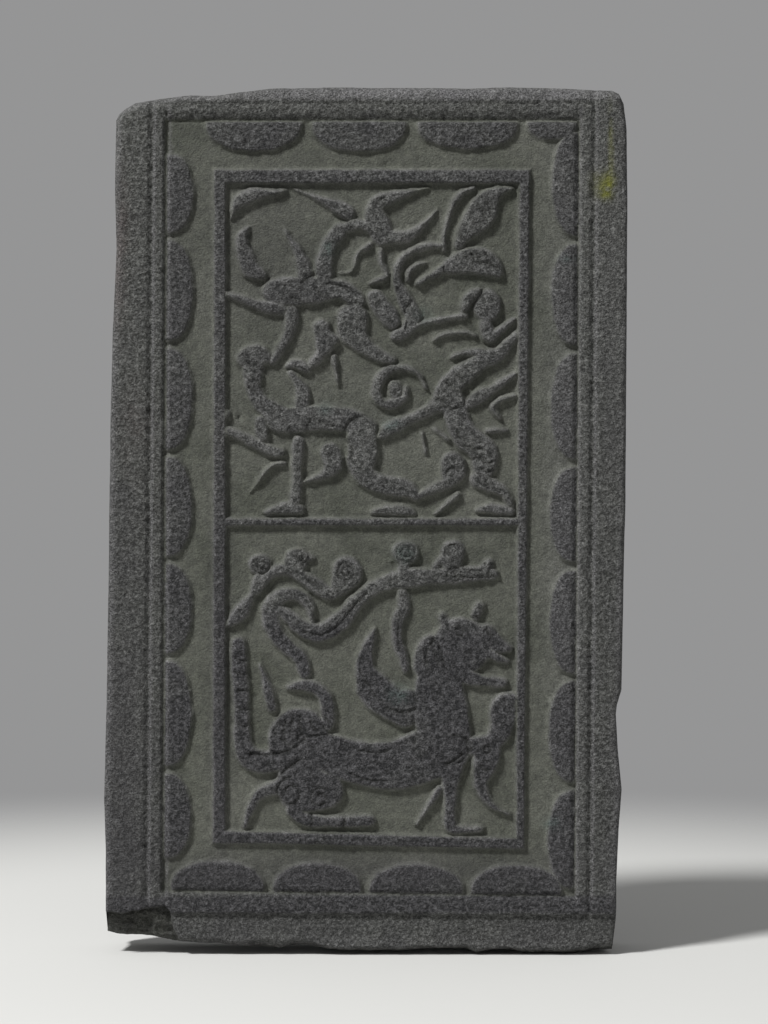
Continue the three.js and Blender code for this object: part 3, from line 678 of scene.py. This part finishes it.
# the foot strip and the broken lower edge
footStep = np.interp(chartX, [-330, 330], [footLine[0] - 1, footLine[1]]) + 1.5 * stray
onFootStrip = smooth(footStep - chartZ, 0, 5)
depth += onFootStrip * (border["footDrop"] + 0.8 * roughness(22, 61) - depth)
breakLine = edgeBottom(chartX) + 8 + 5 * grain(55, 65) + 3 * grain(17, 66)
broken = np.maximum(breakLine - chartZ, 0)
facets = 2.6 * np.abs(grain(19, 67)) + 1.4 * np.abs(grain(8, 68))
depth += smooth(broken, 0, 2.5) * (1.3 * broken + facets)

# the flaked corner: a sharp step, then a hollow shell of a break
flake = {
    "crackX": [-345, -320, -300, -280, -262, -252],
    "crackZ": [-508, -511, -507, -504, -499, -512],
    "depth": 9,         # at its right end, and the deepening towards the left is as much again
}
crack = np.interp(chartX, flake["crackX"], flake["crackZ"])
crack += 1.6 * grain(7, 71)
cornerEdge = np.maximum(chartZ - crack, chartX + 254 + 3 * grain(14, 72) + 0.22 * (chartZ + 505))
shell = smooth(-cornerEdge, 0, 4)
shellDepth = flake["depth"] + flake["depth"] * smooth(-chartX, 268, 300)
shellDepth += 4.5 * np.abs(grain(13, 73))
shellDepth += 2.5 * np.abs(grain(6, 74))
shellDepth += 0.25 * np.maximum(-515 - chartZ, 0)
depth += shell * np.maximum(shellDepth - depth, 0)

# the worn top band and the arris all round
depth += 0.42 * np.maximum(chartZ - 549 - 2.5 * stray, 0) * smooth(chartZ, 545, 552)
edgeAway = np.minimum.reduce([
    chartX - edgeLeft(chartZ), edgeRight(chartZ) - chartX,
    chartZ - edgeBottom(chartX), edgeTop(chartX) - chartZ,
])
worn = 6.5 + 2.5 * grain(45, 81) + 1.5 * grain(14, 82)
worn += 11 * np.exp(-(((chartX + 322) / 60) ** 2 + ((chartZ - 540) / 45) ** 2))
worn = np.maximum(worn + 2.5 * smooth(chartZ, 500, 560), 3)
intoArris = np.clip(1 - edgeAway / worn, 0, 0.985)
depth += worn * (1 - np.sqrt(1 - intoArris ** 2))

# small bruises and pits in the stone
bruise = smooth(0.34 - pits(26, 91), 0, 0.3) * smooth(grain(60, 92), 0.1, 0.6)
depth += 0.9 * bruise
pitted = np.abs(roughness(5.5, 95, wide=9, layers=2)) * smooth(raisedBorder, 0.5, 1)
depth += 0.5 * pitted * (insideBorder > -1)
depth = np.maximum(depth, relief["topPlane"])
print("panel: depth worked out, from", round(float(depth.min()), 2),
      "to", round(float(depth.max()), 2), "mm")

# the front sheet

sheet = {
    "cell": 1.15,            # mm between the sheet's vertices
    "triangles": 184000,
}
block = {
    "cells": (46, 76),      # across and up, on the back
    "rows": 8,              # from the back to the arris
    "rowStep": 10,          # mm between two rows before they are spread over the thickness
    "dressing": 4.5,        # mm, how deep the rough dressing of the sides goes
    "backDressing": 1.4,
    "gapToSheet": 2.5,
}


def look(field, x, z):
    # the chart's value at each place
    across = np.clip((x - lineX[0]) / chart["step"], 0, len(lineX) - 1.001)
    up = np.clip((z - lineZ[0]) / chart["step"], 0, len(lineZ) - 1.001)
    col, row = across.astype(int), up.astype(int)
    a, b = across - col, up - row
    return ((field[row, col] * (1 - a) + field[row, col + 1] * a) * (1 - b)
            + (field[row + 1, col] * (1 - a) + field[row + 1, col + 1] * a) * b)


def readPlaces(mesh):
    places = np.empty(3 * len(mesh.vertices), np.float32)
    mesh.vertices.foreach_get("co", places)
    return places.reshape(-1, 3).astype(float) * 1000


def writePlaces(mesh, places):
    mesh.vertices.foreach_set("co", (places / 1000).astype(np.float32).ravel())
    mesh.update()


def addGrid(name, across, up, facing):
    # a flat grid over the plain box; facing is -1 for the front and 1 for the back
    startFresh()
    bpy.ops.mesh.primitive_grid_add(
        x_subdivisions=across, y_subdivisions=up, size=1,
        location=((lowX + highX) / 2000, 0, (lowZ + highZ) / 2000),
        rotation=(-facing * math.pi / 2, 0, 0),
    )
    bpy.context.object.scale = ((highX - lowX) / 1000, (highZ - lowZ) / 1000, 1)
    bpy.ops.object.transform_apply(location=True, rotation=True, scale=True)
    bpy.context.object.name = name
    return bpy.context.object


def carvedSheet():
    across = round((highX - lowX) / sheet["cell"])
    up = round((highZ - lowZ) / sheet["cell"])
    piece = addGrid("CarvedSheet", across, up, facing=-1)
    places = readPlaces(piece.data)
    x, z = fitOutline(places[:, 0], places[:, 2])
    writePlaces(piece.data, np.stack([x, look(depth, x, z) - thickness, z], 1))
    bpy.ops.object.modifier_add(type="DECIMATE")
    piece.modifiers["Decimate"].ratio = sheet["triangles"] / (2 * across * up)
    bpy.ops.object.modifier_apply(modifier="Decimate")
    print("panel: front sheet,", len(piece.data.polygons), "triangles")
    return piece


def roughBlock():
    # the back, and the sides drawn forward from its rim row by row
    piece = addGrid("RoughBlock", *block["cells"], facing=1)
    bpy.ops.object.mode_set(mode="EDIT")
    bpy.ops.mesh.select_mode(type="EDGE")
    bpy.ops.mesh.select_all(action="DESELECT")
    bpy.ops.mesh.select_non_manifold(use_wire=False, use_multi_face=False,
                                     use_non_contiguous=False, use_verts=False)
    rowStep = block["rowStep"]
    for row in range(block["rows"]):
        bpy.ops.mesh.extrude_region_move(TRANSFORM_OT_translate={"value": (0, -rowStep / 1000, 0)})
    bpy.ops.object.mode_set(mode="OBJECT")
    places = readPlaces(piece.data)
    row = np.round(-places[:, 1] / rowStep)     # 0 on the back, then one for each row
    x, z = fitOutline(places[:, 0], places[:, 2])
    forward = row / block["rows"]
    arris = thickness - look(depth, x, z) - block["gapToSheet"]
    y = -forward * arris
    # rough dressing: hollows in the sides, a nearly flat back with a rounded rim
    sheared = (x + 2.3 * y, z - 1.9 * y)
    hollow = 0.5 + 0.5 * look(roughness(60, 101), *sheared)
    hollow += 0.45 * np.abs(look(roughness(24, 105), *sheared))
    inward = block["dressing"] * hollow * np.sin(np.clip(forward, 0.12, 1) * math.pi) ** 0.6
    inward += np.where(row == 0, 3.0, 0)
    rim = (row > 0) | (np.minimum.reduce([x - edgeLeft(z), edgeRight(z) - x,
                                          z - edgeBottom(x), edgeTop(x) - z]) < 1)
    onUpright = np.minimum(x - edgeLeft(z), edgeRight(z) - x) < 1
    onLevel = np.minimum(z - edgeBottom(x), edgeTop(x) - z) < 1
    x = x - np.sign(x) * inward * (rim & onUpright)
    z = z - np.sign(z) * inward * (rim & onLevel)
    y = np.where(row == 0, -block["backDressing"] * np.clip(0.45 + look(roughness(90, 111), x, z), 0, 1), y)
    writePlaces(piece.data, np.stack([x, y, z], 1))
    return piece


def reliefPanel():
    front = carvedSheet()
    back = roughBlock()
    startFresh()
    back.select_set(True)
    front.select_set(True)
    bpy.context.view_layer.objects.active = front
    bpy.ops.object.join()
    bpy.ops.object.mode_set(mode="EDIT")
    bpy.ops.mesh.select_mode(type="EDGE")
    bpy.ops.mesh.select_all(action="DESELECT")
    bpy.ops.mesh.select_non_manifold(use_wire=False, use_multi_face=False,
                                     use_non_contiguous=False, use_verts=False)
    bpy.ops.mesh.bridge_edge_loops()
    bpy.ops.mesh.select_all(action="SELECT")
    bpy.ops.mesh.normals_make_consistent(inside=False)
    bpy.ops.mesh.select_all(action="DESELECT")
    bpy.ops.object.mode_set(mode="OBJECT")
    bpy.ops.object.shade_smooth()
    front.name = front.data.name = "ReliefPanel"
    print("panel: closed,", sum(len(face.vertices) - 2 for face in front.data.polygons), "triangles")
    return front


panel = reliefPanel()

# tone, stains, painted shade and a painted highlight, read by the stone's material

patches = {     # x, z, half width, half height and strength; the pale ones are rubbed
    "pale": [(252, 60, 26, 420, 0.34), (318, 300, 24, 240, 0.16), (0, -552, 360, 9, 0.2),
             (-60, 135, 120, 60, 0.12)],
    "lichen": [(315, 436, 8, 14, 1.0), (309, 426, 7, 7, 0.8), (319, 470, 3, 26, 0.35),
               (318, 510, 3, 30, 0.3), (300, 440, 9, 18, 0.2)],
    "verdigris": [(241, -395, 10, 9, 0.8), (262, 340, 12, 6, 0.6), (-48, 352, 9, 10, 0.9),
                  (75, 268, 11, 10, 0.7), (-54, 146, 8, 8, 0.8), (33, 124, 12, 9, 0.8),
                  (50, -44, 13, 12, 0.9), (45, -224, 14, 12, 0.7), (41, -232, 9, 8, 0.4)],
    "rust": [(-325, 300, 10, 50, 0.8), (-318, 390, 9, 60, 0.7), (-300, 120, 20, 60, 0.3)],
    "damp": [(0, -455, 330, 26, 1.0), (-240, 330, 30, 200, 0.2), (-130, 350, 80, 110, 0.6),
             (-315, -150, 34, 330, 0.5), (-190, -200, 16, 300, 0.9), (-315, -450, 40, 60, 0.9),
             (-320, -300, 26, 90, 0.6), (330, -300, 12, 160, 0.4),
             (-120, -530, 160, 20, 0.5), (230, -540, 90, 18, 0.5), (320, 160, 18, 150, 0.3)],
}


def patchChart(name):
    return np.clip(sum(share * blob(x, z, wide, tall) for x, z, wide, tall, share in patches[name]), 0, 1)


paintedWallHighlight = {       # painted highlight: pale strips painted on the steep right walls of the upright border lines, the walls that face the light
    "aside": 3,
    "foot": -500,
    "head": 540,
    "half": 2.6,
    "share": 0.75,
}


def toneCharts():
    creatureFace = smooth(-creatureEdge, 3.2, 6.2) * (registers < 0)
    barFace = smooth(-barRing, 2.6, 5.2)
    borderFace = smooth(-scallopEdge, 2.8, 6.0) * (insideBorder < 0)
    borderFace = np.maximum(borderFace, smooth(insideBorder, 1, 5))
    raised = np.clip(creatureFace + barFace + 0.9 * borderFace, 0, 1)
    # worn: tops of the walls, arrises, the top band and the rubbed patches, plus a painted highlight on the
    # lit right walls of the upright border lines
    shoulder = fade(creatureEdge + 3.6, 2.4) * (registers < 0) + 0.6 * fade(barRing + 3.2, 2.2)
    shoulder += 0.6 * fade(scallopEdge + 3.6, 2.6) * (insideBorder < 0)
    worn = np.clip(shoulder, 0, 1) * (0.5 + 0.5 * roughness(20, 121))
    band = smooth(chartZ, 544, 550) * smooth(edgeAway, -2, 3)
    worn = np.maximum(worn, 0.9 * band * (0.8 + 0.3 * roughness(12, 125)))
    worn = np.maximum(worn, 0.45 * smooth(12 - edgeAway, 0, 8) * smooth(chartZ, -530, -480))
    # painted highlight on the steep right walls of the upright border lines, which face the light
    aside, half = paintedWallHighlight["aside"], paintedWallHighlight["half"]
    walls = [groove(foot + aside, paintedWallHighlight["foot"], head + aside, paintedWallHighlight["head"], half, 1)
             for head, foot in (border["outside"]["left"], border["outside"]["right"],
                                border["inside"]["left"], border["inside"]["right"])]
    worn = np.maximum(worn, paintedWallHighlight["share"] * np.maximum.reduce(walls))
    for x, z, wide, tall, share in patches["pale"]:
        worn = np.maximum(worn, share * blob(x, z, wide, tall))
    # painted shade: darkening painted into the creases and fine lines, over the flaked corner and a little
    # at the feet of the walls, where shade falls
    level = np.minimum.reduce([np.abs(creatureEdge), np.abs(barRing), np.abs(scallopEdge)])
    paintedShade = 0.05 * fade(level - 0.5, 2.6) + onCreature * np.maximum(0.5 * crease, 0.4 * fineLine)
    paintedShade = np.clip(np.maximum(paintedShade, shell), 0, 1)
    # ink: the tiger and whatever stands lower on the slab darker than the upper beasts
    low = smooth(-chartZ, -150, 330)
    ink = creatureFace * (0.24 + 0.78 * smooth(-chartZ, 100, 165))
    ink += barFace * (0.52 + 0.5 * low)
    ink += borderFace * smooth(-insideBorder, -3, 3) * (0.6 + 0.4 * low)
    ink += smooth(insideBorder, -2, 4) * (0.02 + 0.3 * low)
    ink += 0.95 * smooth(-chartZ, 486, 494) * smooth(chartZ, -514, -508)
    ink = np.clip(ink + 0.34 * raised * roughness(32, 131), 0, 1)
    return {"tone": [raised, worn, paintedShade, ink],
            "stain": [patchChart(name) for name in ("lichen", "verdigris", "rust", "damp")]}


def paintTones(piece):
    mesh = piece.data
    places = readPlaces(mesh)
    x, y, z = places.T
    front = smooth(-y, 78, 100)
    for name, fields in toneCharts().items():
        values = np.stack([look(field, x, z) * front for field in fields], 1)
        if name == "tone":      # the rough-dressed back and sides have the coarse grain all over
            values[:, 0] = np.maximum(values[:, 0], 0.75 * (1 - front))
        layer = mesh.attributes.new(name, "FLOAT_COLOR", "POINT")
        layer.data.foreach_set("color", values.astype(np.float32).ravel())


paintTones(panel)
print("panel: tones painted")

# the stone

stone = {
    "ground": ((0.064, 0.068, 0.054), (0.104, 0.107, 0.090)),
    "raised": ((0.030, 0.031, 0.028), (0.126, 0.127, 0.121)),
    "ink": ((0.011, 0.011, 0.012), (0.074, 0.073, 0.076)),
    # pale colour for wear and for the painted highlight on the lit walls of the upright border lines
    "worn": (0.158, 0.154, 0.160),
    # colour of the painted shade in creases, fine lines, wall feet and the flaked corner
    "paintedShade": (0.026, 0.027, 0.020),
    "lichen": (0.150, 0.155, 0.020),
    "verdigris": (0.060, 0.085, 0.078),
    "rust": (0.095, 0.066, 0.060),
    "damp": (0.040, 0.038, 0.041),
    "bumpDepth": 0.0026,
    "roughness": (0.68, 0.92),
}


def stoneMaterial():
    material = bpy.data.materials.new("DarkStone")
    material.use_nodes = True
    nodes, links = material.node_tree.nodes, material.node_tree.links
    shader = nodes["Principled BSDF"]
    place = nodes.new("ShaderNodeTexCoord").outputs["Object"]

    def connect(source, socket):
        if isinstance(source, bpy.types.NodeSocket):
            links.new(source, socket)
        else:
            socket.default_value = source

    def noise(scale, detail=3.0, rough=0.55, stretch=(1, 1, 1), at=(0, 0, 0)):
        mapping = nodes.new("ShaderNodeMapping")
        mapping.inputs["Scale"].default_value = stretch
        mapping.inputs["Location"].default_value = at
        links.new(place, mapping.inputs["Vector"])
        node = nodes.new("ShaderNodeTexNoise")
        links.new(mapping.outputs["Vector"], node.inputs["Vector"])
        node.inputs["Scale"].default_value = scale
        node.inputs["Detail"].default_value = detail
        node.inputs["Roughness"].default_value = rough
        return node.outputs["Fac"]

    def reckon(kind, a, b):
        node = nodes.new("ShaderNodeMath")
        node.operation = kind
        connect(a, node.inputs[0])
        connect(b, node.inputs[1])
        return node.outputs[0]

    def spread(value, start, end, low=0.0, high=1.0):
        node = nodes.new("ShaderNodeMapRange")
        connect(value, node.inputs["Value"])
        for name, number in zip(("From Min", "From Max", "To Min", "To Max"), (start, end, low, high)):
            node.inputs[name].default_value = number
        return node.outputs["Result"]

    def blend(share, a, b, kind="MIX"):
        node = nodes.new("ShaderNodeMix")
        node.data_type = "RGBA"
        node.blend_type = kind
        connect(share, node.inputs["Factor"])
        for socket, colour in ((node.inputs[6], a), (node.inputs[7], b)):
            connect(colour if isinstance(colour, bpy.types.NodeSocket) else (*colour, 1), socket)
        return node.outputs[2]

    def attribute(name):
        node = nodes.new("ShaderNodeAttribute")
        node.attribute_name = name
        parts = nodes.new("ShaderNodeSeparateColor")
        links.new(node.outputs["Color"], parts.inputs["Color"])
        return [*parts.outputs, node.outputs["Alpha"]]

    raised, worn, paintedShade, ink = attribute("tone")
    lichen, verdigris, rust, damp = attribute("stain")
    broad = spread(noise(9, 4), 0.35, 0.65)
    patch = spread(noise(26, 4, 0.6, at=(3, 1, 2)), 0.36, 0.64)
    mottle = spread(noise(110, 4, 0.65), 0.38, 0.62)
    speck = spread(noise(480, 3, 0.7), 0.34, 0.66)
    peck = spread(noise(215, 3, 0.68, stretch=(0.9, 1, 1.05), at=(1, 2, 3)), 0.38, 0.62)

    ground = blend(broad, *stone["ground"])
    plain = blend(peck, *stone["raised"])
    inked = blend(peck, *stone["ink"])
    colour = blend(raised, ground, plain)
    colour = blend(ink, colour, inked)
    colour = blend(reckon("MULTIPLY", damp, 0.5), colour, stone["damp"])
    chalk = spread(speck, 0, 1, 0.25, 0.9)
    # pale wear, and the painted highlight on the lit walls of the upright border lines
    colour = blend(reckon("MULTIPLY", worn, chalk), colour, stone["worn"])
    colour = blend(reckon("MULTIPLY", rust, spread(patch, 0, 1, 0.1, 0.5)), colour, stone["rust"])
    green = reckon("MULTIPLY", verdigris, spread(mottle, 0, 1, 0.2, 0.7))
    colour = blend(green, colour, stone["verdigris"])
    # painted shade: darkens the creases, fine lines, wall feet and the flaked corner
    colour = blend(reckon("MULTIPLY", paintedShade, 0.6), colour, stone["paintedShade"])
    # salt and pepper, stronger on the raised faces
    swing = spread(raised, 0, 1, 0.28, 0.62)
    dust = reckon("ADD", reckon("MULTIPLY", spread(speck, 0, 1, -1, 1), swing), 1.0)
    dust = reckon("MULTIPLY", dust, spread(mottle, 0, 1, 0.80, 1.20))
    shade = nodes.new("ShaderNodeCombineColor")
    for socket in shade.inputs:
        links.new(dust, socket)
    colour = blend(1.0, colour, shade.outputs["Color"], "MULTIPLY")
    colour = blend(reckon("MULTIPLY", lichen, spread(patch, 0.1, 0.6)), colour, stone["lichen"])
    links.new(colour, shader.inputs["Base Color"])

    dull = spread(mottle, 0, 1, *stone["roughness"])
    links.new(dull, shader.inputs["Roughness"])
    shader.inputs["Specular IOR Level"].default_value = 0.35

    holes = nodes.new("ShaderNodeTexVoronoi")
    holes.inputs["Scale"].default_value = 210
    links.new(place, holes.inputs["Vector"])
    holed = reckon("MULTIPLY", spread(holes.outputs["Distance"], 0.05, 0.45),
                   spread(raised, 0, 1, 0.05, 0.3))
    coarse = reckon("MULTIPLY", peck, spread(raised, 0, 1, 0.16, 0.55))
    fine = reckon("MULTIPLY", speck, spread(raised, 0, 1, 0.20, 0.25))
    height = reckon("ADD", holed, reckon("ADD", coarse, fine))
    bump = nodes.new("ShaderNodeBump")
    bump.inputs["Strength"].default_value = 1
    bump.inputs["Distance"].default_value = stone["bumpDepth"]
    links.new(height, bump.inputs["Height"])
    links.new(bump.outputs["Normal"], shader.inputs["Normal"])
    return material


panel.data.materials.clear()
panel.data.materials.append(stoneMaterial())
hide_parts("relief_slab")
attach(panel, "root")
print("panel: stone finished")

# floor, light and camera

studio = {
    "floorRadius": 2.4,
    "floorFades": (0.9, 2.3),
    "floorColour": (0.62, 0.62, 0.60),
    "air": (0.30, 0.30, 0.302),
    "keyFrom": (-0.50, -0.47, 0.73),
    "keyAway": 10,
    "keySize": 1.8,
    "keyPower": 1330,
    "cameraAt": (0.0234, -3.818, 0.0104),
    "lens": 100,
}


def paleFloor():
    startFresh()
    bpy.ops.mesh.primitive_circle_add(vertices=96, radius=studio["floorRadius"], fill_type="NGON",
                                      location=(0, 0, cadBox[0][2] - 0.0005))
    bpy.ops.object.transform_apply(location=True, rotation=True, scale=True)
    floor = bpy.context.object
    floor.name = "PaleFloor"
    material = bpy.data.materials.new("PaleFloor")
    material.use_nodes = True
    nodes, links = material.node_tree.nodes, material.node_tree.links
    nodes["Principled BSDF"].inputs["Base Color"].default_value = (*studio["floorColour"], 1)
    nodes["Principled BSDF"].inputs["Roughness"].default_value = 0.9
    away = nodes.new("ShaderNodeVectorMath")
    away.operation = "LENGTH"
    links.new(nodes.new("ShaderNodeTexCoord").outputs["Object"], away.inputs[0])
    fading = nodes.new("ShaderNodeMapRange")
    fading.interpolation_type = "SMOOTHSTEP"
    fading.inputs["From Min"].default_value, fading.inputs["From Max"].default_value = studio["floorFades"]
    links.new(away.outputs["Value"], fading.inputs["Value"])
    mix = nodes.new("ShaderNodeMixShader")
    links.new(fading.outputs["Result"], mix.inputs["Fac"])
    links.new(nodes["Principled BSDF"].outputs["BSDF"], mix.inputs[1])
    links.new(nodes.new("ShaderNodeBsdfTransparent").outputs["BSDF"], mix.inputs[2])
    links.new(mix.outputs["Shader"], nodes["Material Output"].inputs["Surface"])
    floor.data.materials.append(material)


def softLight():
    startFresh()
    towards = np.array(studio["keyFrom"]) / np.linalg.norm(studio["keyFrom"])
    bpy.ops.object.light_add(type="AREA", location=tuple(towards * studio["keyAway"]))
    key = bpy.context.object
    key.name = "KeyLight"
    key.data.shape = "DISK"
    key.data.size = studio["keySize"]
    key.data.energy = studio["keyPower"]
    yaw = math.atan2(towards[1], towards[0]) + math.pi / 2
    key.rotation_euler = (math.acos(towards[2]), 0, yaw)
    world = bpy.data.worlds.new("PaleAir")
    world.use_nodes = True
    world.node_tree.nodes["Background"].inputs["Color"].default_value = (*studio["air"], 1)
    bpy.context.scene.world = world


def frontCamera():
    startFresh()
    bpy.ops.object.camera_add(location=studio["cameraAt"], rotation=(math.pi / 2, 0, 0))
    camera = bpy.context.object
    camera.name = "FrontCamera"
    camera.data.lens = studio["lens"]
    bpy.context.scene.camera = camera


paleFloor()
softLight()
frontCamera()
bpy.context.scene.view_settings.view_transform = "Standard"
print("panel: floor, light and camera placed")
